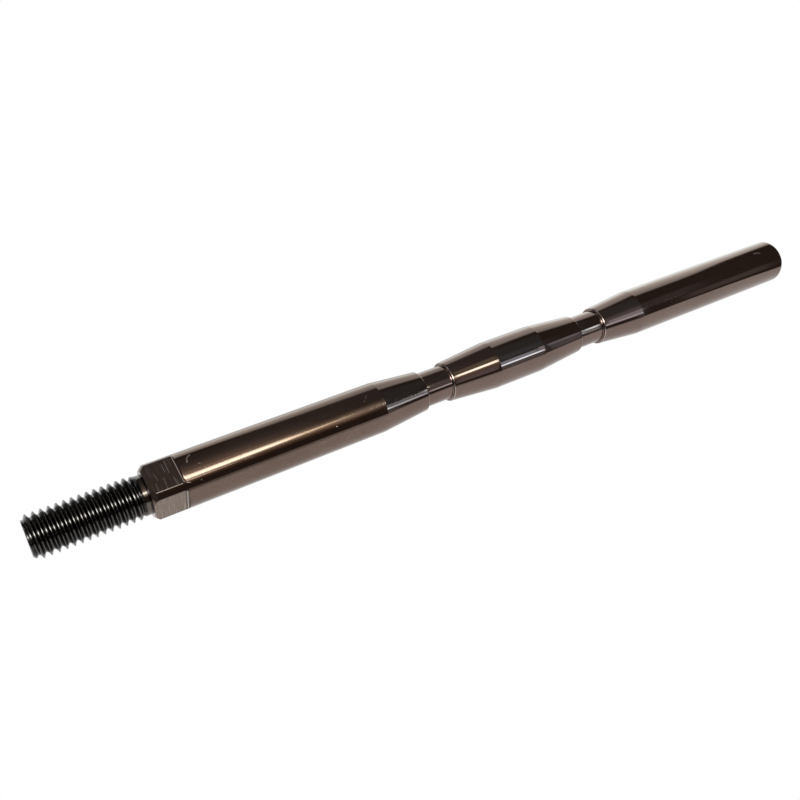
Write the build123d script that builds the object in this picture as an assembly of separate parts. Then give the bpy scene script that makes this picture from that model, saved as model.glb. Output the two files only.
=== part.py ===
from build123d import *
import os
from math import atan2, ceil, degrees, radians, tan

# Stepped shaft, turned from one bar. The axis is X, the shoulder that seats against the mating part
# is at X = 0, the thread points along -X and the plain end along +X. +Z is up. Millimetres.

# Bar
body_diameter = 10.0  # the three full-diameter lands
end_radius = 1.5  # rounding of the plain end

# Threaded end: M8 x 1.25, right-hand, rolled
threaded_length = 20.0  # end face to shoulder
thread_diameter = 7.9  # over the crests, inside the 8 mm nominal size
thread_pitch = 1.25
thread_depth = 0.6134 * thread_pitch  # external thread, crest to root
crest_width = thread_pitch / 8
flank_angle = 30.0  # each flank from the plane square to the axis
blank_diameter = 7.2  # bar that the thread is rolled on, bare beside the shoulder
blank_length = 1.1  # bare stretch beside the shoulder
crest_fade = 1.2  # stretch over which the crests sink to the blank
groove_fade = 0.75  # turns over which the groove lifts out
end_chamfer = 0.85  # lead-in at the end face, 45 degrees
groove_overrun = 0.4  # share of a crest that each side of the cutter reaches past it
thread_phase = 177.0  # turn of the groove about the axis, degrees

# Shoulder and the square for a wrench
shoulder_chamfer_length = 0.85
shoulder_chamfer_depth = 0.75
shoulder_chamfer_crown = 4.0  # radius that polishing has given the chamfer
across_flats = 8.0
flat_count = 4
flat_length = 6.0  # shoulder to the far end of the flats
flat_end_radius = 0.4  # left by the corner of the milling cutter
flat_turn = 17.0  # the square is turned this far about the axis, degrees

# Lands, tapers and necks, from the shoulder to the plain end
land_1_length = 46.0  # with the square
taper_1_length = 10.0
neck_1_length = 6.0
cone_2_length = 11.0
land_2_length = 11.5
taper_2_length = 11.0
neck_2_length = 6.5
cone_3_length = 10.5
land_3_length = 47.5
neck_diameter = 7.0
rim_diameter = 8.1  # small end of each taper
rim_edge_break = 0.2  # 45 degrees
neck_corner_radius = 0.15  # left by the nose of the grooving tool

# Stations along the axis
taper_1_start = land_1_length
rim_1 = taper_1_start + taper_1_length
rim_2 = rim_1 + neck_1_length
land_2_start = rim_2 + cone_2_length
taper_2_start = land_2_start + land_2_length
rim_3 = taper_2_start + taper_2_length
rim_4 = rim_3 + neck_2_length
land_3_start = rim_4 + cone_3_length
plain_end = land_3_start + land_3_length


def neck(start, end):
    """Corners of one neck, between the broken edges of its two rims."""
    rim = rim_diameter / 2
    floor = neck_diameter / 2
    return [
        (start - rim_edge_break, rim, 0),
        (start, rim - rim_edge_break, 0),
        (start, floor, neck_corner_radius),
        (end, floor, neck_corner_radius),
        (end, rim - rim_edge_break, 0),
        (end + rim_edge_break, rim, 0),
    ]


def turned_blank():
    """Half section of the turned bar, spun about the axis."""
    body = body_diameter / 2
    thread = thread_diameter / 2
    blank = blank_diameter / 2
    threaded_stretch = [
        (-threaded_length, 0),
        (-threaded_length, thread - end_chamfer),
        (-threaded_length + end_chamfer, thread),
        (-blank_length - crest_fade, thread),
        (-blank_length, blank),
        (0, blank),
        (0, body - shoulder_chamfer_depth),
    ]
    # each corner: station, radius, rounding
    stepped_stretch = [
        (taper_1_start, body, 0),
        *neck(rim_1, rim_2),
        (land_2_start, body, 0),
        (taper_2_start, body, 0),
        *neck(rim_3, rim_4),
        (land_3_start, body, 0),
        (plain_end, body, end_radius),
    ]
    corners = [(station, radius) for station, radius, rounding in stepped_stretch]
    roundings = [rounding for station, radius, rounding in stepped_stretch]
    with BuildSketch() as half_section:
        with BuildLine():
            shank = Polyline(*threaded_stretch)
            chamfer_end = (shoulder_chamfer_length, body)
            chamfer = RadiusArc(shank @ 1, chamfer_end, shoulder_chamfer_crown)
            steps = FilletPolyline(chamfer @ 1, *corners, (plain_end, 0), radius=roundings)
            Line(steps @ 1, shank @ 0)
        make_face()
    return revolve(half_section.sketch, axis=Axis.X)


def groove_section():
    """Axial section of the thread groove: two flanks to a narrow flat root, open past the crests."""
    crest = thread_diameter / 2
    root = crest - thread_depth
    slope = tan(radians(flank_angle))
    mouth = (thread_pitch - crest_width) / 2
    floor = mouth - thread_depth * slope
    past_crest = groove_overrun * crest_width / slope
    brim = mouth + past_crest * slope
    with BuildSketch(Plane.XZ) as section:
        with BuildLine():
            Polyline(
                (root, -floor), (crest + past_crest, -brim),
                (crest + past_crest, brim), (root, floor), close=True,
            )
        make_face()
    return section.sketch


def thread_groove():
    """Cutters for the right-hand groove: one for each turn, and one that lifts out of the bar."""
    crest = thread_diameter / 2
    section = groove_section()
    turn = sweep(section, path=Helix(thread_pitch, thread_pitch, crest), is_frenet=True)
    fade_length = groove_fade * thread_pitch
    lift = blank_diameter / 2 - crest + thread_depth
    fade_cone = degrees(atan2(lift, fade_length))
    fade_path = Helix(thread_pitch, fade_length, crest, cone_angle=fade_cone)
    fade = sweep(section, path=fade_path, is_frenet=True)
    full_length = threaded_length - blank_length - fade_length
    turn_count = ceil(full_length / thread_pitch) + 1
    full_end = Pos(-blank_length - fade_length, 0, 0) * Rot(thread_phase, 0, 0) * Rot(0, 90, 0)
    turns = [
        Pos(-thread_pitch * (index + 1), 0, 0) * full_end * turn
        for index in range(turn_count)
    ]
    return [*turns, full_end * fade]


def wrench_flats():
    """Four cutters, one for each flat, with the rounding of the milling cutter at their far end."""
    cutter = Box(
        flat_length, body_diameter, body_diameter,
        align=(Align.MIN, Align.CENTER, Align.MIN),
    )
    far_floor_edge = cutter.edges().filter_by(Axis.Y).sort_by(Axis.X)[2:].sort_by(Axis.Z)[0]
    cutter = Pos(0, 0, across_flats / 2) * fillet(far_floor_edge, flat_end_radius)
    return [
        Rot(flat_turn + 360 * index / flat_count, 0, 0) * cutter
        for index in range(flat_count)
    ]


shaft = turned_blank() - wrench_flats() - thread_groove()

os.makedirs("parts", exist_ok=True)
export_step(shaft, "parts/shaft.step")
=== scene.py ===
import math

import bpy
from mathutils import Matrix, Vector


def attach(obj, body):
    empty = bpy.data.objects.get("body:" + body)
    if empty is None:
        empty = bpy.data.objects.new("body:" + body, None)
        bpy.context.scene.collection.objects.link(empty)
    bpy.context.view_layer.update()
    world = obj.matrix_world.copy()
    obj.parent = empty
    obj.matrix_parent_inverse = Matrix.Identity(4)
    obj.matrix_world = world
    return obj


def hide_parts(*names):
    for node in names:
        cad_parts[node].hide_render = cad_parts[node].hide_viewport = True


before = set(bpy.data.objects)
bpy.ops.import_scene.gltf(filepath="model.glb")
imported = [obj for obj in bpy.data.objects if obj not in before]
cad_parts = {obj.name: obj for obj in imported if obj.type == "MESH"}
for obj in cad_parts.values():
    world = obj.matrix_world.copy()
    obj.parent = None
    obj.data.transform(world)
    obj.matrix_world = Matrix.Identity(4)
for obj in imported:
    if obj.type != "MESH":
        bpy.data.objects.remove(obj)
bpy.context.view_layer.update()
milli = 0.001  # the tables below are in millimetres, the scene in metres
print("frame loaded")


# short ways to wire a node tree, for geometry and for shaders
def plugIn(tree, source, socket):
    if isinstance(source, bpy.types.NodeSocket):
        tree.links.new(source, socket)
    elif source is not None:
        socket.default_value = source


def calc(tree, operation, *terms, clamp=False):
    node = tree.nodes.new("ShaderNodeMath")
    node.operation = operation
    node.use_clamp = clamp
    for term, socket in zip(terms, node.inputs):
        plugIn(tree, term, socket)
    return node.outputs[0]


def addNode(tree, kind, settings=None, **sockets):
    node = tree.nodes.new(kind)
    for name, value in (settings or {}).items():
        setattr(node, name, value)
    for name, value in sockets.items():
        plugIn(tree, value, node.inputs[name.replace("_", " ")])
    return node


def vectorCalc(tree, operation, first, second, output=0):
    node = addNode(tree, "ShaderNodeVectorMath", {"operation": operation})
    plugIn(tree, first, node.inputs[0])
    plugIn(tree, second, node.inputs[1])
    return node.outputs[output]


def scale(tree, vector, factor):
    node = addNode(tree, "ShaderNodeVectorMath", {"operation": "SCALE"}, Vector=vector, Scale=factor)
    return node.outputs[0]


def noise(tree, place, fineness=1.0, detail=2.0, grain=0.5):
    return addNode(tree, "ShaderNodeTexNoise", Vector=place, Scale=fineness, Detail=detail,
                   Roughness=grain).outputs[0]


def spread(tree, value, low, high, least=0.0, most=1.0):
    # goes from least to most while the value goes from low to high
    return addNode(tree, "ShaderNodeMapRange", Value=value, From_Min=low, From_Max=high,
                   To_Min=least, To_Max=most).outputs[0]


def ease(tree, value, low, high, least=0.0):
    # the same up to 1, with soft ends
    return addNode(tree, "ShaderNodeMapRange", {"interpolation_type": "SMOOTHSTEP"}, Value=value,
                   From_Min=low, From_Max=high, To_Min=least).outputs[0]


def pick(tree, condition, whenTrue, whenFalse):
    # condition is 0 or 1
    span = calc(tree, "SUBTRACT", whenTrue, whenFalse)
    return calc(tree, "MULTIPLY_ADD", span, condition, whenFalse)


# the shaft: stations run from the shoulder towards the plain end
shaftSizes = {
    "bodyRadius": 5.0,
    "neckRadius": 3.5,
    "rimRadius": 4.05,  # small end of each taper
    "firstLandEnd": 46.0,
    "firstRim": 56.0,
    "secondRim": 62.0,
    "middleLandStart": 73.0,
    "middleLandEnd": 84.5,
    "thirdRim": 95.5,
    "fourthRim": 102.0,
    "lastLandStart": 112.5,
    "plainEnd": 160.0,
    "endRounding": 1.5,
    "endSteps": 16,
    "rimRounding": 0.2,
    # rims: rubbed metal with a painted highlight line, lightest at the middle of each rounding
    "rimRubAndHighlight": 0.5,
    "rimRubAndHighlightPower": 3,  # higher keeps the rubbing and painted highlight to a thinner line
    "neckRounding": 0.16,
    "rimSteps": 6,
    "creaseRounding": 1.0,  # where a land meets a taper
    "creaseSteps": 4,
    "supportGap": 0.08,  # extra ring beside each rounding, keeps the straights straight
    "landSupport": 0.25,  # the same beside the square
    "shoulderRadius": 4.25,
    "shoulderChamferLength": 0.85,
    "shoulderChamferCrown": 4.0,
    "shoulderChamferSteps": 8,
    "blankRadius": 3.6,
    "ringPoints": 144,
    # places of the thread's rings beside the middle of the groove, closest at its rounded corners
    "threadOffsets": [0.0, 0.06, 0.085, 0.105, 0.125, 0.15, 0.18, 0.49, 0.52, 0.535, 0.55, 0.565, 0.585],
    # up the cutter's corner, where above 0 is a painted highlight and below 0 is painted shade
    "cornerLightAndShade": [-0.4, -0.7, -0.3, 0.3, 0.5, 0.3, -0.3, -0.8, -0.8],
}
squareSizes = {
    "acrossFlats": 8.0,
    "flatLength": 6.0,
    "millCorner": 0.4,
    "flatTurn": math.radians(17.0),
    "shareOnFlat": 20 / 24,  # of the ring points of a quarter turn
    "edgePull": 0.42,  # draws the points beside an edge of a flat towards it, so its rounding stays narrow
    "edgeReach": 1.125,  # how far from the edge that goes, in ring points
}
threadSizes = {
    "pitch": 1.25,
    "threadLength": 20.0,
    "crestRadius": 3.95,
    "rootRadius": 3.95 - 0.6134 * 1.25,  # below the crest by the depth for this pitch
    "rootHalfWidth": 0.1042,
    "flankSlope": 1 / math.tan(math.radians(30)),
    "endChamfer": 0.85,
    "bareLength": 1.1,
    "crestFade": 1.2,
    "grooveStation": -2.0375,  # where the groove starts to lift out
    "grooveAngle": math.radians(87),
    "fadeTurns": 0.75,
    "lift": 0.417,
    "rootRounding": 0.1,
    "crestRounding": 0.05,
    "seatGap": 0.9,  # the thread's rings end this far from the shoulder
}
limits = {
    "sameKind": 0.1,
    "sameShare": 0.001,
    "sameStation": 0.01,
    "nearlyOne": 0.99,
    "weld": 0.002,
    "sharpBend": math.radians(28),
    "threadStart": -1.0,  # from here to the end face no edge is made sharp
    "endFaceDepth": 0.005,
}
# kinds of rows in the profile
plainRow = 0
threadRow = 1
flatRow = 2  # cut by the flats
wallRow = 3  # keeps to the flats' angles but isn't cut


def sweepPoints(centre, first, last, steps):
    # points of the shorter arc between two points, evenly spaced
    start, end = Vector(first) - centre, Vector(last) - centre
    begin = math.atan2(start.y, start.x)
    turn = math.remainder(math.atan2(end.y, end.x) - begin, math.tau)
    angles = [begin + turn * step / steps for step in range(steps + 1)]
    return [(centre.x + start.length * math.cos(a), centre.y + start.length * math.sin(a)) for a in angles]


def filletPoints(before, corner, after, rounding, steps):
    # the corner rounded, with a support point on each straight
    before, corner, after = Vector(before), Vector(corner), Vector(after)
    back = (before - corner).normalized()
    ahead = (after - corner).normalized()
    half = back.angle(ahead) / 2
    reach = rounding / math.tan(half)
    centre = corner + (back + ahead).normalized() * (rounding / math.sin(half))
    gap = shaftSizes["supportGap"]
    arc = sweepPoints(centre, corner + back * reach, corner + ahead * reach, steps)
    return [tuple(corner + back * (reach + gap)), *arc, tuple(corner + ahead * (reach + gap))]


def turnedRows():
    # the smooth side of the shoulder, from the far end of the flats to the plain end
    s = shaftSizes
    bends = {
        "crease": (s["creaseRounding"], s["creaseSteps"]),
        "rim": (s["rimRounding"], s["rimSteps"]),
        "neck": (s["neckRounding"], s["rimSteps"]),
        "end": (s["endRounding"], s["endSteps"]),
    }
    corners = [(squareSizes["flatLength"] + s["landSupport"], s["bodyRadius"], None)]
    necks = [
        ("firstLandEnd", "firstRim", "secondRim", "middleLandStart"),
        ("middleLandEnd", "thirdRim", "fourthRim", "lastLandStart"),
    ]
    for landEnd, rimIn, rimOut, landStart in necks:
        corners += [
            (s[landEnd], s["bodyRadius"], "crease"),
            (s[rimIn], s["rimRadius"], "rim"),
            (s[rimIn], s["neckRadius"], "neck"),
            (s[rimOut], s["neckRadius"], "neck"),
            (s[rimOut], s["rimRadius"], "rim"),
            (s[landStart], s["bodyRadius"], "crease"),
        ]
    corners += [(s["plainEnd"], s["bodyRadius"], "end"), (s["plainEnd"], 0, None)]
    rows = []
    for index, (station, radius, bend) in enumerate(corners):
        if not bend:
            rows.append((station, radius, plainRow, 0.0))
            continue
        rounding, steps = bends[bend]
        before = corners[index - 1][:2]
        after = corners[index + 1][:2]
        points = filletPoints(before, (station, radius), after, rounding, steps)
        for order, point in enumerate(points):
            # a rim's rubbing and painted highlight are 1 half way round it and 0 at its ends
            crown = math.sin(math.pi * order / (len(points) - 1)) ** s["rimRubAndHighlightPower"]
            rubbedAndPaintedLight = s["rimRubAndHighlight"] * crown if bend == "rim" else 0.0
            rows.append((*point, plainRow, rubbedAndPaintedLight))
    return rows


def threadRows():
    # rings every few hundredths of a millimetre where the groove bends, and few on its flanks
    t = threadSizes
    half = t["pitch"] / 2
    side = shaftSizes["threadOffsets"]
    offsets = [-x for x in reversed(side[1:])] + side + [half]
    gridStart = t["grooveStation"] + t["pitch"] * (squareSizes["flatTurn"] - t["grooveAngle"]) / math.tau
    turn = math.floor((-t["threadLength"] - t["pitch"] - gridStart) / t["pitch"]) - 1
    rows = []
    while not rows or rows[-1][0] < -t["seatGap"]:
        rows += [(gridStart + turn * t["pitch"] + x, t["crestRadius"], threadRow, 0.0) for x in offsets]
        turn += 1
    first = max(i for i, row in enumerate(rows) if row[0] <= -t["threadLength"] - t["pitch"])
    last = min(i for i, row in enumerate(rows) if row[0] >= -t["seatGap"])
    return rows[first:last + 1]


def squareRows():
    # the blank's end, the crowned chamfer, the flats and the corner that the cutter leaves
    s, q = shaftSizes, squareSizes
    start = Vector((0, s["shoulderRadius"]))
    end = Vector((s["shoulderChamferLength"], s["bodyRadius"]))
    chord = end - start
    sag = math.sqrt(s["shoulderChamferCrown"] ** 2 - chord.length_squared / 4)
    centre = (start + end) / 2 + Vector((chord.y, -chord.x)).normalized() * sag
    steps = s["shoulderChamferSteps"]
    rows = [(0, s["blankRadius"], plainRow, 0.0)]
    rows += [(*point, flatRow, 0.0) for point in sweepPoints(centre, start, end, steps)]
    rows.append((s["shoulderChamferLength"] + s["supportGap"], s["bodyRadius"], flatRow, 0.0))
    floorEnd = q["flatLength"] - q["millCorner"]
    rows.append((floorEnd - s["supportGap"], s["bodyRadius"], flatRow, 0.0))
    # painted highlight and painted shade up the cutter's corner
    for step, rubbedAndPaintedLight in enumerate(s["cornerLightAndShade"]):
        sweep = math.pi / 2 * step / (len(s["cornerLightAndShade"]) - 1)
        rows.append((floorEnd + q["millCorner"] * math.sin(sweep), s["bodyRadius"], flatRow, rubbedAndPaintedLight))
    rows.append((q["flatLength"], s["bodyRadius"], wallRow, 0.0))
    rows.append((q["flatLength"] + s["supportGap"], s["bodyRadius"], wallRow, 0.0))
    return rows


def profileLine():
    # the half section of the bar, from the end face to the plain end, as a line of vertices
    endFace = [(-threadSizes["threadLength"], 0, plainRow, 0.0)]
    rows = endFace + threadRows() + squareRows() + turnedRows()
    mesh = bpy.data.meshes.new("shaftProfile")
    line = [(i, i + 1) for i in range(len(rows) - 1)]
    mesh.from_pydata([(row[0], row[1], 0) for row in rows], line, [])
    kinds = mesh.attributes.new("rowKind", "FLOAT", "POINT")
    kinds.data.foreach_set("value", [float(row[2]) for row in rows])
    # per row: rubbing with a painted highlight on the rims, and on the cutter's corner a painted highlight
    # above 0 and painted shade below 0
    rubbedLightAndShade = mesh.attributes.new("rowRubbedLightShade", "FLOAT", "POINT")
    rubbedLightAndShade.data.foreach_set("value", [row[3] for row in rows])
    print("profile rows", len(rows))
    return bpy.data.objects.new("shaft_turned", mesh)


def readMark(tree, name):
    node = addNode(tree, "GeometryNodeInputNamedAttribute", {"data_type": "FLOAT"}, Name=name)
    return node.outputs["Attribute"]


def storeMark(tree, geometry, name, value, domain="POINT"):
    return addNode(tree, "GeometryNodeStoreNamedAttribute", {"data_type": "FLOAT", "domain": domain},
                   Geometry=geometry, Name=name, Value=value).outputs[0]


def turnedBarTree():
    # spins the profile round X, follows the thread's helix and cuts the square
    tree = bpy.data.node_groups.new("turnedBar", "GeometryNodeTree")
    sizes = {**squareSizes, **threadSizes}
    sizes["blankRadius"] = shaftSizes["blankRadius"]
    sizes["chamferEnd"] = shaftSizes["shoulderChamferLength"]
    sizes["ringPoints"] = float(shaftSizes["ringPoints"])
    face = tree.interface
    face.new_socket("Geometry", in_out="INPUT", socket_type="NodeSocketGeometry")
    face.new_socket("Geometry", in_out="OUTPUT", socket_type="NodeSocketGeometry")
    names = {}
    for name in sizes:
        names[name] = face.new_socket(name, in_out="INPUT", socket_type="NodeSocketFloat").identifier
    metal = face.new_socket("Material", in_out="INPUT", socket_type="NodeSocketMaterial")
    names["Material"] = metal.identifier
    given = tree.nodes.new("NodeGroupInput").outputs
    profile = given["Geometry"]

    def m(operation, *terms):
        return calc(tree, operation, *terms)

    # which row and which point of its ring each vertex is
    count = addNode(tree, "GeometryNodeAttributeDomainSize", Geometry=profile).outputs["Point Count"]
    perRow = m("ADD", given["ringPoints"], 1)
    grid = addNode(tree, "GeometryNodeMeshGrid", Vertices_X=count, Vertices_Y=perRow).outputs["Mesh"]
    index = tree.nodes.new("GeometryNodeInputIndex").outputs[0]
    row = m("FLOOR", m("DIVIDE", m("ADD", index, 0.5), perRow))
    around = m("SUBTRACT", index, m("MULTIPLY", row, perRow))
    place = tree.nodes.new("GeometryNodeInputPosition").outputs[0]

    def fromRow(kindOfData, value):
        return addNode(tree, "GeometryNodeSampleIndex", {"data_type": kindOfData}, Geometry=profile,
                       Value=value, Index=row).outputs[0]

    rowPlace = addNode(tree, "ShaderNodeSeparateXYZ", Vector=fromRow("FLOAT_VECTOR", place)).outputs
    station, radius = rowPlace["X"], rowPlace["Y"]
    kind = fromRow("FLOAT", readMark(tree, "rowKind"))
    rowRubbedLightShade = fromRow("FLOAT", readMark(tree, "rowRubbedLightShade"))
    isThread = m("COMPARE", kind, threadRow, limits["sameKind"])
    isFlat = m("COMPARE", kind, flatRow, limits["sameKind"])
    keepsAngle = m("GREATER_THAN", kind, flatRow - 0.5)
    angle = m("MULTIPLY_ADD", around, m("DIVIDE", math.tau, given["ringPoints"]), given["flatTurn"])

    # thread: rows lean along the helix and stop at the end face and near the shoulder
    lean = m("DIVIDE", m("SUBTRACT", angle, given["flatTurn"]), math.tau)
    leaning = m("MULTIPLY_ADD", lean, given["pitch"], station)
    endStation = m("MULTIPLY", given["threadLength"], -1)
    held = m("MINIMUM", m("MAXIMUM", leaning, endStation), m("MULTIPLY", given["seatGap"], -1))
    turns = m("DIVIDE", m("SUBTRACT", held, given["grooveStation"]), given["pitch"])
    turnsHere = m("DIVIDE", m("SUBTRACT", angle, given["grooveAngle"]), math.tau)
    fromGroove = m("SUBTRACT", turns, turnsHere)
    offset = m("MULTIPLY", m("SUBTRACT", fromGroove, m("ROUND", fromGroove)), given["pitch"])
    fade = m("DIVIDE", m("SUBTRACT", turns, m("DIVIDE", offset, given["pitch"])), given["fadeTurns"])
    root = m("MULTIPLY_ADD", m("MAXIMUM", fade, 0), given["lift"], given["rootRadius"])
    beside = m("SUBTRACT", m("ABSOLUTE", offset), given["rootHalfWidth"])
    flank = m("MULTIPLY_ADD", beside, given["flankSlope"], root)
    groove = m("SMOOTH_MAX", flank, root, given["rootRounding"])
    drop = m("SUBTRACT", given["crestRadius"], given["blankRadius"])
    fromBare = m("SUBTRACT", m("MULTIPLY", given["bareLength"], -1), held)
    fading = m("MULTIPLY_ADD", fromBare, m("DIVIDE", drop, given["crestFade"]), given["blankRadius"])
    crest = m("MAXIMUM", m("MINIMUM", fading, given["crestRadius"]), given["blankRadius"])
    chamfer = m("SUBTRACT", m("SUBTRACT", held, endStation), given["endChamfer"])
    crest = m("MINIMUM", crest, m("ADD", chamfer, given["crestRadius"]))
    threadRadius = m("SMOOTH_MIN", crest, groove, given["crestRounding"])

    # square: the ring points gather at the edges of the four flats, and each flat has two sides that
    # run over an eighth of a turn
    quarter = m("DIVIDE", around, m("DIVIDE", given["ringPoints"], 4))
    nearest = m("ROUND", quarter)
    side = m("MULTIPLY", m("SUBTRACT", quarter, nearest), 2)
    share = given["shareOnFlat"]
    fromEdge = m("SUBTRACT", m("ABSOLUTE", side), share)
    reach = m("DIVIDE", m("MULTIPLY", given["edgeReach"], 8), given["ringPoints"])
    isBeside = m("LESS_THAN", m("ABSOLUTE", fromEdge), reach)
    sideSize = m("MULTIPLY_ADD", fromEdge, pick(tree, isBeside, given["edgePull"], 1.0), share)
    floorEnd = m("SUBTRACT", given["flatLength"], given["millCorner"])
    intoCorner = m("MAXIMUM", m("SUBTRACT", station, floorEnd), 0)
    corner = given["millCorner"]
    under = m("SUBTRACT", m("MULTIPLY", corner, corner), m("MULTIPLY", intoCorner, intoCorner))
    climb = m("SUBTRACT", corner, m("SQRT", m("MAXIMUM", under, 0)))
    depth = m("MULTIPLY_ADD", given["acrossFlats"], 0.5, climb)
    halfAngle = m("ARCCOSINE", m("MINIMUM", m("DIVIDE", depth, radius), 1))
    onFlat = m("LESS_THAN", sideSize, m("ADD", share, limits["sameShare"]))
    within = m("MULTIPLY", m("DIVIDE", sideSize, share), halfAngle)
    beyond = m("DIVIDE", m("SUBTRACT", sideSize, share), m("SUBTRACT", 1, share))
    outside = m("MULTIPLY_ADD", beyond, m("SUBTRACT", math.pi / 4, halfAngle), halfAngle)
    local = pick(tree, onFlat, within, outside)
    flatAngle = m("ADD", m("MULTIPLY", nearest, math.pi / 2), given["flatTurn"])
    flatAngle = m("MULTIPLY_ADD", local, m("SIGN", side), flatAngle)
    cutRadius = pick(tree, onFlat, m("DIVIDE", depth, m("COSINE", local)), radius)

    finalStation = pick(tree, isThread, held, station)
    finalAngle = pick(tree, keepsAngle, flatAngle, angle)
    finalRadius = pick(tree, isThread, threadRadius, radius)
    finalRadius = pick(tree, isFlat, cutRadius, finalRadius)
    spun = addNode(tree, "ShaderNodeCombineXYZ", X=finalStation,
                   Y=m("MULTIPLY", finalRadius, m("COSINE", finalAngle)),
                   Z=m("MULTIPLY", finalRadius, m("SINE", finalAngle))).outputs[0]
    # marks are kept before the vertices move, while rows and ring points can still be told
    marked = storeMark(tree, grid, "onFlat", m("MULTIPLY", isFlat, onFlat))
    atEdge = m("COMPARE", sideSize, share, limits["sameShare"])
    beforeCorner = m("LESS_THAN", station, m("SUBTRACT", floorEnd, limits["sameStation"]))
    pastChamfer = m("GREATER_THAN", station, m("SUBTRACT", given["chamferEnd"], limits["sameStation"]))
    softEdge = m("MULTIPLY", m("MULTIPLY", isFlat, atEdge), m("MULTIPLY", beforeCorner, pastChamfer))
    marked = storeMark(tree, marked, "softEdge", softEdge)
    # the rows' rubbing, painted highlight and painted shade, kept to the flats on rows that the flats cut
    rubbedAndPaintedLight = m("MULTIPLY", rowRubbedLightShade, m("MAXIMUM", onFlat, m("SUBTRACT", 1, isFlat)))
    marked = storeMark(tree, marked, "rubbedAndPaintedLight", rubbedAndPaintedLight)
    moved = addNode(tree, "GeometryNodeSetPosition", Geometry=marked, Position=spun).outputs[0]
    closed = addNode(tree, "GeometryNodeMergeByDistance", Geometry=moved,
                     Distance=limits["weld"]).outputs[0]
    # spun this way round the faces point inwards, so they are turned over
    outward = addNode(tree, "GeometryNodeFlipFaces", Mesh=closed).outputs[0]
    whole = m("GREATER_THAN", readMark(tree, "onFlat"), limits["nearlyOne"])
    milled = storeMark(tree, outward, "milled", whole, "FACE")
    scaled = addNode(tree, "GeometryNodeTransform", Geometry=milled,
                     Scale=(milli, milli, milli)).outputs[0]
    smooth = addNode(tree, "GeometryNodeSetShadeSmooth", {"domain": "FACE"}, Geometry=scaled).outputs[0]

    # sharp edges: all that bend enough, apart from the thread's and the long edges of the flats
    bend = tree.nodes.new("GeometryNodeInputMeshEdgeAngle").outputs["Unsigned Angle"]
    edgePlace = tree.nodes.new("GeometryNodeInputPosition").outputs[0]
    along = addNode(tree, "ShaderNodeSeparateXYZ", Vector=edgePlace).outputs["X"]
    pastThread = m("GREATER_THAN", along, limits["threadStart"] * milli)
    onEndFace = m("LESS_THAN", along, (limits["endFaceDepth"] - threadSizes["threadLength"]) * milli)
    clearOfThread = m("MAXIMUM", pastThread, onEndFace)
    isSharp = m("MULTIPLY", m("GREATER_THAN", bend, limits["sharpBend"]), clearOfThread)
    isSharp = m("MULTIPLY", isSharp, m("LESS_THAN", readMark(tree, "softEdge"), limits["nearlyOne"]))
    creased = addNode(tree, "GeometryNodeSetShadeSmooth", {"domain": "EDGE"}, Geometry=smooth,
                      Selection=isSharp, Shade_Smooth=False).outputs[0]
    real = addNode(tree, "GeometryNodeRealizeInstances", Geometry=creased).outputs[0]
    painted = addNode(tree, "GeometryNodeSetMaterial", Geometry=real,
                      Material=given["Material"]).outputs[0]
    plugIn(tree, painted, tree.nodes.new("NodeGroupOutput").inputs[0])
    return tree, sizes, names


def buildShaft(material):
    # turns the profile into one closed skin with its material on it
    made = profileLine()
    bpy.context.scene.collection.objects.link(made)
    tree, sizes, names = turnedBarTree()
    turning = made.modifiers.new("turning", "NODES")
    turning.node_group = tree
    for name, value in sizes.items():
        turning[names[name]] = value
    turning[names["Material"]] = material
    view = bpy.context.evaluated_depsgraph_get()
    mesh = bpy.data.meshes.new_from_object(made.evaluated_get(view), depsgraph=view)
    made.modifiers.remove(turning)
    made.data = mesh
    return made


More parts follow.
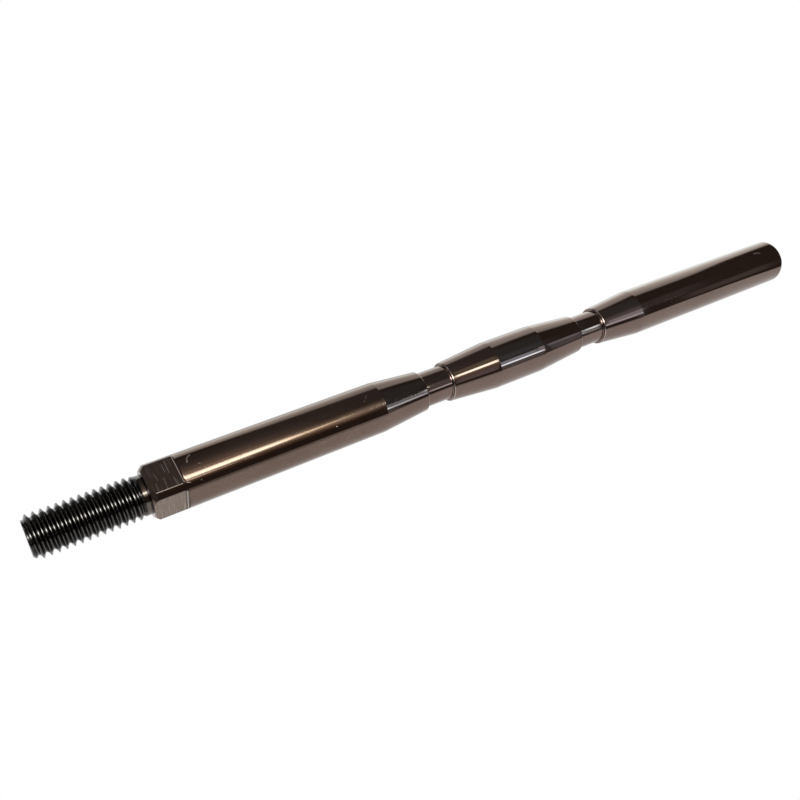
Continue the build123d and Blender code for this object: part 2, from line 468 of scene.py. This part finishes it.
# the finish: dark polished nickel, whose tints are what it mirrors head on
nickel = {
    "tint": (0.147, 0.103, 0.082, 1.0),
    "tintFar": (0.172, 0.124, 0.106, 1.0),
    "tintTurn": (28.0, 66.0),  # stretch over which one tint goes over into the other
    "mottle": (0.09, 0.05),  # patches for each millimetre, and how much they change the tint
    "patchDetail": 3.0,
    "noiseSpan": (0.3, 0.7),  # stretch of a noise that is put to use
    "roughness": 0.045,
    "roughnessSpread": (0.7, 1.4),  # shares of it at the two ends of the noise
    "turningLines": (3.2, 0.12),  # lines for each millimetre along and round the bar
    "turningNoise": (4.0, 0.65),  # detail and roughness of the noise behind the lines
    "turningDepth": 0.00012,
    # sets of polishing hairs: how far the noise is stretched along and across them, slant, patches
    "hairSets": [(0.22, 5.0, 0.55, 0.11), (0.3, 6.0, -0.8, 0.07), (0.16, 4.0, 0.12, 0.09)],
    "hairPatchSpan": (0.45, 0.68),
    "hairWidth": 0.012,
    "hairTint": (0.30, 0.25, 0.22, 1.0),
    "hairRoughness": 0.22,
    "hairShare": (0.5, 0.6),  # of their tint and of their roughness
    "hairDepth": 0.0004,
    # lighter tint of the rubbed rims and of the painted highlights on them and on the cutter's corner
    "rubbedAndPaintedLightTint": (0.66, 0.60, 0.58, 1.0),
    "rubbedAndPaintedLightRoughness": 0.28,
    "rubbedAndPaintedLightPatches": 1.3,  # patches for each millimetre
    "rubbedAndPaintedLightPatchSpan": (0.25, 0.6),
    "rubbedAndPaintedLightLeast": 0.7,  # share of the rubbing and painted highlight left between the patches
    "markTint": (0.66, 0.60, 0.57, 1.0),
    "markCore": 0.2,  # share of a mark's width that shows in full
    "milledTint": (0.172, 0.13, 0.101, 1.0),
    "milledRoughness": 0.11,
    "millLines": (9.0, 0.2),  # cutter lines for each millimetre along and across a flat
    "millLineSpan": (0.5, 0.74),
    "millNoise": (3.0, 0.7),
    "millLineTint": (0.42, 0.36, 0.37, 1.0),
    "edgeTint": (0.11, 0.104, 0.104, 1.0),
    "edgeRoughness": 0.22,
    "millDepth": 0.0012,
    "threadTint": (0.086, 0.081, 0.079, 1.0),
    # the thread's flanks painted darker than its crests and roots: painted shade in the grooves
    "flankShadeTint": (0.038, 0.036, 0.035, 1.0),
    "flankRadii": (3.25, 3.84),  # between the roots and the crests
    "flankFade": 0.05,
    "blankTint": (0.108, 0.091, 0.08, 1.0),
    # painted shade, used at the blank's two ends and beside the cutter's corner
    "paintedShadeTint": (0.022, 0.019, 0.02, 1.0),
    "paintedShadeRings": [(-1.55, -1.0), (-0.3, 0.2)],  # painted shade at the two ends of the blank
    # a painted highlight round the rim of the end face
    "endRimHighlightTint": (0.34, 0.33, 0.33, 1.0),
    "endRimHighlightWidth": 0.1,
    "endTintStart": -0.001,  # the threaded end's tints begin at the shoulder
}
# marks: station and turn about the axis of the points of each, then width
marks = {
    "hook": ([(7.6, 104.5), (7.75, 99.0), (8.05, 94.5), (8.6, 90.5)], 0.16),
    "hookEnd": ([(7.57, 106.0), (7.65, 103.5)], 0.28),
    "nick": ([(9.2, 117.5), (9.5, 118.7)], 0.075),
    "nickLow": ([(8.6, 150.0), (8.8, 151.5)], 0.07),
    "squareNick": ([(6.25, 145.0), (6.8, 148.0)], 0.09),
    "pit": ([(35.1, 146.4), (35.3, 147.6)], 0.17),
    "landNick": ([(42.15, 117.0), (42.35, 116.0)], 0.09),
    "landNickUpper": ([(42.6, 112.0), (43.3, 104.0)], 0.045),
    "endScuff": ([(151.6, 106.5), (152.8, 108.5), (153.3, 112.5)], 0.3),
    "millOne": ([(4.34, 75.0), (4.28, 108.0)], 0.075),
    "millTwo": ([(3.7, 79.5), (3.67, 102.0)], 0.06),
    "millThree": ([(2.99, 116.0), (2.92, 143.0)], 0.06),
    "millFour": ([(1.41, 124.0), (1.39, 142.0)], 0.055),
    "millFive": ([(4.66, 124.0), (4.68, 143.0)], 0.06),
    "millSix": ([(4.96, 131.0), (4.9, 143.5)], 0.055),
    "millSeven": ([(1.86, 96.0), (1.98, 118.0)], 0.05),
}


def ramp(tree, value, middle, soft):
    # eases from 0 to 1 over the soft edge round the middle
    low = calc(tree, "SUBTRACT", middle, soft / 2)
    return ease(tree, value, low, calc(tree, "ADD", middle, soft / 2))


def softSpan(tree, value, span, soft):
    # 1 within the span, easing to 0 over the soft edge at each end
    up = ramp(tree, value, span[0], soft[0])
    down = ramp(tree, value, span[1], soft[1])
    return calc(tree, "MULTIPLY", up, calc(tree, "SUBTRACT", 1, down))


def blend(tree, mask, under, over):
    mix = addNode(tree, "ShaderNodeMix", {"data_type": "RGBA"}, Factor=mask)
    plugIn(tree, under, mix.inputs[6])
    plugIn(tree, over, mix.inputs[7])
    return mix.outputs[2]


def strokeGroup():
    # how much a place on the surface is within a straight stroke between two others
    tree = bpy.data.node_groups.new("stroke", "ShaderNodeTree")
    for name in ("Place", "From", "To"):
        tree.interface.new_socket(name, in_out="INPUT", socket_type="NodeSocketVector")
    tree.interface.new_socket("Width", in_out="INPUT", socket_type="NodeSocketFloat")
    tree.interface.new_socket("Mask", in_out="OUTPUT", socket_type="NodeSocketFloat")
    given = tree.nodes.new("NodeGroupInput").outputs

    reach = vectorCalc(tree, "SUBTRACT", given["Place"], given["From"])
    stroke = vectorCalc(tree, "SUBTRACT", given["To"], given["From"])
    along = vectorCalc(tree, "DOT_PRODUCT", reach, stroke, 1)
    whole = vectorCalc(tree, "DOT_PRODUCT", stroke, stroke, 1)
    share = calc(tree, "DIVIDE", along, whole, clamp=True)
    gap = vectorCalc(tree, "DISTANCE", reach, scale(tree, stroke, share), 1)
    core = calc(tree, "MULTIPLY", given["Width"], nickel["markCore"])
    inside = ease(tree, gap, given["Width"], core)
    plugIn(tree, inside, tree.nodes.new("NodeGroupOutput").inputs[0])
    return tree


def linesGroup():
    # thin lines that follow one direction of a stretched noise, in patches
    tree = bpy.data.node_groups.new("hairLines", "ShaderNodeTree")
    tree.interface.new_socket("Place", in_out="INPUT", socket_type="NodeSocketVector")
    for name in ("Along", "Across", "Turn", "Width", "Patches"):
        tree.interface.new_socket(name, in_out="INPUT", socket_type="NodeSocketFloat")
    tree.interface.new_socket("Mask", in_out="OUTPUT", socket_type="NodeSocketFloat")
    given = tree.nodes.new("NodeGroupInput").outputs
    turned = addNode(tree, "ShaderNodeVectorRotate", {"rotation_type": "Z_AXIS"},
                     Vector=given["Place"], Angle=given["Turn"]).outputs[0]
    parts = addNode(tree, "ShaderNodeSeparateXYZ", Vector=turned).outputs
    stretched = addNode(tree, "ShaderNodeCombineXYZ", X=calc(tree, "MULTIPLY", parts["X"], given["Along"]),
                        Y=calc(tree, "MULTIPLY", parts["Y"], given["Across"]), Z=parts["Z"]).outputs[0]
    away = calc(tree, "ABSOLUTE", calc(tree, "SUBTRACT", noise(tree, stretched), 0.5))
    line = spread(tree, away, given["Width"], 0.0)
    shown = ease(tree, noise(tree, given["Place"], given["Patches"]), *nickel["hairPatchSpan"])
    plugIn(tree, calc(tree, "MULTIPLY", line, shown), tree.nodes.new("NodeGroupOutput").inputs[0])
    return tree


def blackNickel():
    n = nickel
    material = bpy.data.materials.new("blackNickel")
    material.use_nodes = True
    tree = material.node_tree
    shader = tree.nodes["Principled BSDF"]
    shader.inputs["Metallic"].default_value = 1.0

    # station along the bar, way round it and radius, in millimetres
    place = scale(tree, tree.nodes.new("ShaderNodeTexCoord").outputs["Object"], 1 / milli)
    parts = addNode(tree, "ShaderNodeSeparateXYZ", Vector=place).outputs
    station = parts["X"]
    squares = [calc(tree, "MULTIPLY", parts[axis], parts[axis]) for axis in ("Y", "Z")]
    radius = calc(tree, "SQRT", calc(tree, "ADD", *squares))
    turn = calc(tree, "ARCTAN2", parts["Z"], parts["Y"])
    wayRound = calc(tree, "MULTIPLY", turn, shaftSizes["bodyRadius"])
    sheet = addNode(tree, "ShaderNodeCombineXYZ", X=station, Y=wayRound).outputs[0]

    # fine turning and polishing lines round the bar
    along, across = n["turningLines"]
    ringPlace = addNode(tree, "ShaderNodeCombineXYZ", X=calc(tree, "MULTIPLY", station, along),
                        Y=calc(tree, "MULTIPLY", parts["Y"], across),
                        Z=calc(tree, "MULTIPLY", parts["Z"], across)).outputs[0]
    rings = noise(tree, ringPlace, 1.0, *n["turningNoise"])

    # polishing hairs, each set in its own slant
    lines = linesGroup()
    hairs = None
    for along, across, slant, patches in n["hairSets"]:
        node = addNode(tree, "ShaderNodeGroup", {"node_tree": lines}, Place=place, Along=along,
                       Across=across, Turn=slant, Width=n["hairWidth"], Patches=patches)
        hairs = node.outputs[0] if hairs is None else calc(tree, "MAXIMUM", hairs, node.outputs[0])

    # marks of handling and of the cutter
    strokes = strokeGroup()
    marked = None
    for points, width in marks.values():
        for start, end in zip(points, points[1:]):
            ends = [(at, math.radians(angle) * shaftSizes["bodyRadius"], 0) for at, angle in (start, end)]
            node = addNode(tree, "ShaderNodeGroup", {"node_tree": strokes}, Place=sheet, Width=width)
            node.inputs["From"].default_value, node.inputs["To"].default_value = ends
            marked = node.outputs[0] if marked is None else calc(tree, "MAXIMUM", marked, node.outputs[0])

    # flats: cutter lines square to the axis
    milled = addNode(tree, "ShaderNodeAttribute", {"attribute_name": "milled"}).outputs["Fac"]
    along, across = n["millLines"]
    cutPlace = addNode(tree, "ShaderNodeCombineXYZ", X=calc(tree, "MULTIPLY", station, along),
                       Y=calc(tree, "MULTIPLY", wayRound, across)).outputs[0]
    cuts = noise(tree, cutPlace, 1.0, *n["millNoise"])
    cutLines = calc(tree, "MULTIPLY", ease(tree, cuts, *n["millLineSpan"]), milled)

    # rubbing and a painted highlight on the rims, a painted highlight on the cutter's corner, and painted
    # shade beside it
    rubbedLightAndShade = addNode(tree, "ShaderNodeAttribute", {"attribute_name": "rubbedAndPaintedLight"}).outputs["Fac"]
    cornerPaintedShade = calc(tree, "MULTIPLY", rubbedLightAndShade, -1, clamp=True)
    rubbedAndPaintedLight = calc(tree, "MAXIMUM", rubbedLightAndShade, 0)
    patches = noise(tree, place, n["rubbedAndPaintedLightPatches"], n["patchDetail"])
    rubbedAndPaintedLight = calc(tree, "MULTIPLY", rubbedAndPaintedLight, spread(tree, patches, *n["rubbedAndPaintedLightPatchSpan"], n["rubbedAndPaintedLightLeast"]))
    edges = addNode(tree, "ShaderNodeAttribute", {"attribute_name": "softEdge"}).outputs["Fac"]

    # tint
    tint = blend(tree, ease(tree, station, *n["tintTurn"]), n["tint"], n["tintFar"])
    patches, change = n["mottle"]
    mottle = noise(tree, place, patches, n["patchDetail"])
    tint = scale(tree, tint, spread(tree, mottle, *n["noiseSpan"], 1 - change, 1 + change))

    # the threaded end's tints, with painted shade on the thread's flanks and at the blank's two ends, and
    # a painted highlight round the end face's rim
    fade = n["flankFade"]
    onFlank = softSpan(tree, radius, n["flankRadii"], (fade, fade))
    onThread = calc(tree, "LESS_THAN", station, -threadSizes["bareLength"])
    # painted shade on the flanks
    endTint = blend(tree, onFlank, n["threadTint"], n["flankShadeTint"])
    endTint = blend(tree, onThread, n["blankTint"], endTint)
    # painted shade at the two ends of the blank
    for span in n["paintedShadeRings"]:
        endTint = blend(tree, softSpan(tree, station, span, (fade, fade)), endTint, n["paintedShadeTint"])
    # painted highlight round the end face's rim
    endRimHighlight = calc(tree, "LESS_THAN", station, n["endRimHighlightWidth"] - threadSizes["threadLength"])
    endTint = blend(tree, endRimHighlight, endTint, n["endRimHighlightTint"])
    tint = blend(tree, calc(tree, "LESS_THAN", station, n["endTintStart"]), tint, endTint)

    # what lies over the metal's own tint
    tint = blend(tree, milled, tint, n["milledTint"])
    tint = blend(tree, cutLines, tint, n["millLineTint"])
    tintShare, roughShare = n["hairShare"]
    tint = blend(tree, calc(tree, "MULTIPLY", hairs, tintShare), tint, n["hairTint"])
    tint = blend(tree, edges, tint, n["edgeTint"])
    # paints the highlights of the rims and of the cutter's corner, with the rims' rubbing, then the
    # painted shade beside that corner
    tint = blend(tree, rubbedAndPaintedLight, tint, n["rubbedAndPaintedLightTint"])
    tint = blend(tree, cornerPaintedShade, tint, n["paintedShadeTint"])
    tint = blend(tree, marked, tint, n["markTint"])
    plugIn(tree, tint, shader.inputs["Base Color"])

    # roughness
    least, most = [n["roughness"] * share for share in n["roughnessSpread"]]
    rough = spread(tree, rings, *n["noiseSpan"], least, most)
    rough = pick(tree, milled, n["milledRoughness"], rough)
    rough = pick(tree, calc(tree, "MULTIPLY", hairs, roughShare), n["hairRoughness"], rough)
    rough = pick(tree, edges, n["edgeRoughness"], rough)
    rough = pick(tree, calc(tree, "MAXIMUM", rubbedAndPaintedLight, marked), n["rubbedAndPaintedLightRoughness"], rough)
    plugIn(tree, rough, shader.inputs["Roughness"])

    # relief, in metres
    relief = calc(tree, "MULTIPLY", rings, n["turningDepth"] * milli)
    relief = calc(tree, "MULTIPLY_ADD", hairs, -n["hairDepth"] * milli, relief)
    onFlats = calc(tree, "MULTIPLY", cuts, milled)
    relief = calc(tree, "MULTIPLY_ADD", onFlats, n["millDepth"] * milli, relief)
    relief = calc(tree, "MULTIPLY_ADD", marked, -n["millDepth"] * milli, relief)
    bump = addNode(tree, "ShaderNodeBump", Height=relief, Distance=1.0)
    plugIn(tree, bump.outputs[0], shader.inputs["Normal"])
    print("finish made")
    return material


shaft = buildShaft(blackNickel())
print("shaft faces", len(shaft.data.polygons))
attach(shaft, "root")
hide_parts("shaft")

# the studio: a bearing is turned up from the horizon in front of the shaft, over the top and down
# behind it, and a swing runs from square to the shaft's axis towards the plain end, both in degrees
studio = {
    "floorDrop": 30.0,
    "floorEdge": [(-160, -700), (300, -700), (420, -330), (320, -170), (262, -90), (262, 900),
                  (-160, 900)],
    "floorFade": (-135, -42),  # stretch over which the floor brightens from its dim end
    "floorDim": 0.12,
    "floorFull": (0.28, 0.17),  # slope from the axis down to the floor at which it is at its brightest
    "floorFullSpan": (60, 190),  # stations between which one goes over into the other
    "floorEase": 0.75,
    "darkRoom": (0.085, 0.062, 0.052),
    # lower edge of the pale back wall: swing and bearing
    "wallEdge": [(-60, 152), (10, 149), (20, 137), (26, 131.5), (29, 126.5), (31.5, 119), (34, 122),
                 (38, 118.5), (42, 115), (45, 116), (48, 134), (90, 140)],
    "wallFade": 14.0,
    "wallLow": (0.85, 0.92, 0.92),
    "wallHigh": (1.86, 2.0, 1.97),
    "wallHighBearing": 163.0,
    "wallHighFade": 46.0,
    "wallEnd": 235.0,
    "wallStart": -20.0,  # swing where the wall begins
    "wallStartFade": 14.0,
}
# low and high bearing with the soft edge of each, low and high swing with theirs, colour, strength
softboxes = {
    "sideAir": ((-60, 250), (30, 20), (-90, -17), (2, 16), (0.85, 1.0, 1.15), 0.08),
    "roomAir": ((40, 134), (24, 16), (-90, 30), (4, 10), (0.7, 0.85, 1.0), 0.075),
    "roomAirFar": ((-90, 100), (24, 24), (27, 90), (3, 4), (0.4, 0.9, 1.0), 0.016),
    "goldLamp": ((42.5, 55.9), (4, 5), (-60, 17.0), (4, 4), (1.0, 1.1, 1.05), 5.1),
    "goldLampTail": ((45.2, 51.0), (4, 4), (-60, 20.6), (4, 4.5), (1.0, 0.98, 0.76), 3.7),
    "threadLampCore": ((40, 59), (4, 5), (-60, 8.3), (4, 1.0), (1.0, 1.0, 1.0), 3.7),
    "threadLamp": ((54, 65), (5, 9), (-60, 8.3), (4, 1.0), (1.0, 1.0, 0.98), 2.6),
    "threadLampLow": ((33, 41), (6, 4), (-60, 8.3), (4, 1.0), (1.0, 1.0, 0.98), 2.0),
    "goldGlow": ((37, 56), (14, 16), (-60, 25), (4, 4), (1.0, 1.0, 0.94), 0.62),
    "goldHaze": ((54, 68), (6, 8), (-60, 16), (4, 8), (1.0, 0.86, 0.74), 0.5),
    "goldHazeMiddle": ((54, 82), (6, 26), (-60, 17), (4, 9), (1.0, 0.8, 0.6), 0.25),
    "goldHazeHigh": ((54, 98), (6, 40), (-60, 19), (4, 9), (1.0, 0.88, 0.82), 0.13),
    "goldTailGlow": ((39, 66), (8, 14), (15, 25), (4, 4), (1.0, 0.8, 0.46), 0.2),
    "goldSpill": ((28, 44), (14, 10), (-60, 24), (4, 6), (1.0, 0.68, 0.42), 0.3),
    "tubeNear": ((12.5, 21.5), (5, 5), (26.5, 31.8), (1, 1), (0.84, 0.95, 1.13), 2.0),
    "tubeNearHaze": ((22, 54), (8, 22), (26.5, 31.8), (2, 1), (0.98, 0.95, 1.02), 0.26),
    "tubeMiddle": ((13.5, 19.2), (4, 3), (32, 35.3), (0.6, 0.4), (0.78, 1.05, 1.28), 6.4),
    "tubeMiddleUpper": ((20, 33), (4, 6), (31.8, 35.4), (0.6, 0.4), (0.78, 1.0, 1.28), 1.15),
    "tubeMiddleLower": ((-2, 12), (6, 6), (31.8, 35.4), (0.6, 0.4), (0.9, 1.0, 1.1), 0.3),
    "tubeFar": ((12, 19), (5, 4), (35.5, 38.0), (0.4, 0.4), (0.78, 1.0, 1.22), 2.9),
    "tubeFarUpper": ((19, 33), (4, 5), (35.5, 38.0), (0.4, 0.4), (0.78, 1.0, 1.22), 0.8),
    "tubeEnd": ((27, 37.5), (4, 4), (38.1, 40.2), (0.4, 0.6), (0.73, 1.0, 1.15), 5.0),
    "tubeEndLower": ((5, 26), (8, 6), (38.1, 40.2), (0.4, 0.6), (0.85, 1.0, 1.07), 0.8),
    "lastTubeLower": ((0, 24), (8, 10), (44.6, 49.5), (1, 2), (1.0, 0.97, 0.98), 0.15),
    "cornerGlint": ((106, 126), (8, 8), (-42, -22), (8, 8), (1.0, 0.97, 0.95), 1.7),
    "wallFar": ((130, 168), (12, 30), (33, 90), (5, 4), (1.0, 0.96, 0.84), 0.25),
    "wallFarther": ((134, 160), (12, 24), (43, 90), (4, 4), (1.0, 0.96, 0.8), 0.14),
    "wallShade": ((172, 250), (16, 10), (43, 90), (4, 4), (1.0, 1.05, 1.1), -0.3),
    "farBlue": ((38, 104), (12, 24), (30, 38), (3, 1.5), (0.4, 0.8, 1.0), 0.07),
    "tubeGlow": ((40, 60), (8, 14), (32, 35.3), (0.8, 0.5), (0.45, 0.7, 1.0), 0.12),
    "sideGlow": ((28, 62), (8, 10), (41, 45.5), (2, 3), (0.85, 0.95, 1.1), 0.09),
}
# lamps near the shaft, each seen by one stretch of it only: bearings, distance, stations, colour
# and strength
nearLamps = {
    "nearLamp": ((41.7, 51.0), 157.0, (116.0, 136.0), (0.95, 1.1, 1.02), 7.2),
    "nearHazeHigh": ((51.0, 71.0), 157.0, (116.0, 136.0), (1.0, 0.93, 0.72), 0.45),
    "nearHazeLow": ((8.0, 29.0), 157.0, (116.0, 136.0), (1.0, 0.9, 0.95), 0.42),
    "nearTube": ((22.0, 37.5), 157.0, (188.0, 209.0), (0.88, 0.97, 1.14), 1.1),
    "lastTube": ((26.0, 37.0), 90.0, (171.0, 189.5), (0.84, 0.96, 1.12), 0.76),
    "lastHaze": ((0.0, 26.0), 90.0, (171.0, 189.5), (0.92, 0.95, 1.1), 0.37),
}
nearSizes = {
    "softEnds": (1.6, 0.6),
    "steps": 8,
}


def glow(name, colour, strength):
    # a material that only gives light
    material = bpy.data.materials.new(name)
    material.use_nodes = True
    tree = material.node_tree
    tree.nodes.clear()
    light = addNode(tree, "ShaderNodeEmission", Color=(*colour, 1.0), Strength=strength)
    end = tree.nodes.new("ShaderNodeOutputMaterial")
    plugIn(tree, light.outputs[0], end.inputs["Surface"])
    return material


def buildFloor():
    # white to the camera, and to the shaft darker towards the horizon and the threaded end
    mesh = bpy.data.meshes.new("paleFloor")
    corners = [(x * milli, y * milli, -studio["floorDrop"] * milli) for x, y in studio["floorEdge"]]
    mesh.from_pydata(corners, [], [tuple(range(len(corners)))])
    light = glow("paleFloor", (1.0, 1.0, 1.0), 1.0)
    tree = light.node_tree
    place = tree.nodes.new("ShaderNodeTexCoord").outputs["Object"]
    parts = addNode(tree, "ShaderNodeSeparateXYZ", Vector=place).outputs
    start, end = studio["floorFade"]
    fade = ease(tree, parts["X"], start * milli, end * milli, studio["floorDim"])
    ahead = calc(tree, "MAXIMUM", calc(tree, "MULTIPLY", parts["Y"], -1), milli)
    slope = calc(tree, "DIVIDE", studio["floorDrop"] * milli, ahead)
    start, end = studio["floorFullSpan"]
    full = spread(tree, parts["X"], start * milli, end * milli, *studio["floorFull"])
    share = calc(tree, "DIVIDE", slope, full, clamp=True)
    fade = calc(tree, "MULTIPLY", fade, calc(tree, "POWER", share, studio["floorEase"]))
    seen = tree.nodes.new("ShaderNodeLightPath").outputs["Is Camera Ray"]
    plugIn(tree, calc(tree, "MAXIMUM", fade, seen), tree.nodes["Emission"].inputs["Strength"])
    mesh.materials.append(light)
    floor = bpy.data.objects.new("paleFloor", mesh)
    bpy.context.scene.collection.objects.link(floor)


def buildNearLamp(name, bearings, distance, span, colour, strength):
    # a strip of an arc round the shaft, fading at its two ends
    steps = nearSizes["steps"]
    start, end = span
    corners = []
    for step in range(steps + 1):
        bearing = math.radians(bearings[0] + (bearings[1] - bearings[0]) * step / steps)
        y = -distance * math.cos(bearing) * milli
        z = distance * math.sin(bearing) * milli
        corners += [(start * milli, y, z), (end * milli, y, z)]
    faces = [(2 * i, 2 * i + 1, 2 * i + 3, 2 * i + 2) for i in range(steps)]
    mesh = bpy.data.meshes.new(name)
    mesh.from_pydata(corners, [], faces)
    light = glow(name, colour, strength)
    tree = light.node_tree
    place = tree.nodes.new("ShaderNodeTexCoord").outputs["Object"]
    along = addNode(tree, "ShaderNodeSeparateXYZ", Vector=place).outputs["X"]
    soft = [length * milli for length in nearSizes["softEnds"]]
    fade = softSpan(tree, along, (start * milli + soft[0] / 2, end * milli - soft[1] / 2), soft)
    plugIn(tree, calc(tree, "MULTIPLY", fade, strength), tree.nodes["Emission"].inputs["Strength"])
    mesh.materials.append(light)
    lamp = bpy.data.objects.new(name, mesh)
    bpy.context.scene.collection.objects.link(lamp)
    lamp.visible_camera = False
    lamp.visible_shadow = False


def wallLight(tree, bearing, swing):
    # the pale back wall, whose lower edge rises and falls with the swing
    w = studio
    points = w["wallEdge"]
    first, last = points[0][0], points[-1][0]
    curve = addNode(tree, "ShaderNodeFloatCurve", Value=spread(tree, swing, first, last))
    line = curve.mapping.curves[0]
    while len(line.points) < len(points):
        line.points.new(0.5, 0.5)
    for point, (at, edge) in zip(line.points, points):
        point.location = ((at - first) / (last - first), edge / 180)
    curve.mapping.update()
    edge = calc(tree, "MULTIPLY", curve.outputs[0], 180)
    lit = ramp(tree, bearing, edge, w["wallFade"])
    high = ramp(tree, bearing, w["wallHighBearing"], w["wallHighFade"])
    colour = blend(tree, high, (*w["wallLow"], 1.0), (*w["wallHigh"], 1.0))
    under = ramp(tree, bearing, w["wallEnd"], w["wallFade"])
    lit = calc(tree, "MULTIPLY", lit, calc(tree, "SUBTRACT", 1, under))
    lit = calc(tree, "MULTIPLY", lit, ramp(tree, swing, w["wallStart"], w["wallStartFade"]))
    return scale(tree, colour, lit)


def buildAir():
    # pale all round for the camera, and for the shaft a dark room with soft boxes
    world = bpy.data.worlds.new("studioAir")
    bpy.context.scene.world = world
    world.use_nodes = True
    tree = world.node_tree
    tree.nodes.clear()
    way = tree.nodes.new("ShaderNodeTexCoord").outputs["Generated"]
    parts = addNode(tree, "ShaderNodeSeparateXYZ", Vector=way).outputs
    ahead = calc(tree, "MULTIPLY", parts["Y"], -1)
    bearing = calc(tree, "DEGREES", calc(tree, "ARCTAN2", parts["Z"], ahead))
    under = calc(tree, "LESS_THAN", bearing, -90)
    bearing = calc(tree, "MULTIPLY_ADD", under, 360, bearing)
    swing = calc(tree, "DEGREES", calc(tree, "ARCSINE", parts["X"]))
    total = wallLight(tree, bearing, swing)
    for span, soft, swings, softSwing, colour, strength in softboxes.values():
        inBearing = softSpan(tree, bearing, span, soft)
        mask = calc(tree, "MULTIPLY", inBearing, softSpan(tree, swing, swings, softSwing))
        total = vectorCalc(tree, "ADD", total, scale(tree, [part * strength for part in colour], mask))
    room = vectorCalc(tree, "ADD", total, studio["darkRoom"])
    seen = tree.nodes.new("ShaderNodeLightPath").outputs["Is Camera Ray"]
    air = tree.nodes.new("ShaderNodeBackground")
    plugIn(tree, blend(tree, seen, room, (1.0, 1.0, 1.0, 1.0)), air.inputs["Color"])
    plugIn(tree, air.outputs[0], tree.nodes.new("ShaderNodeOutputWorld").inputs["Surface"])


buildFloor()
for name, settings in nearLamps.items():
    buildNearLamp(name, *settings)
buildAir()
print("studio lit")

# the camera: place and aim in millimetres, clip distances in metres
shot = {
    "place": (-22.735, -117.42, 102.866),
    "aim": (51.44, -0.15, -0.20),
    "lens": 39.54,
    "sensorWidth": 36.0,
    "clip": (0.005, 10.0),
}


def placeCamera():
    lens = bpy.data.cameras.new("shotCamera")
    lens.sensor_width = shot["sensorWidth"]
    lens.lens = shot["lens"]
    lens.clip_start, lens.clip_end = shot["clip"]
    camera = bpy.data.objects.new("shotCamera", lens)
    bpy.context.scene.collection.objects.link(camera)
    place = Vector(shot["place"]) * milli
    aim = Vector(shot["aim"]) * milli
    camera.location = place
    camera.rotation_mode = "QUATERNION"
    camera.rotation_quaternion = (aim - place).to_track_quat("-Z", "Y")
    bpy.context.scene.camera = camera


placeCamera()
bpy.context.scene.view_settings.view_transform = "Standard"
print("camera placed")
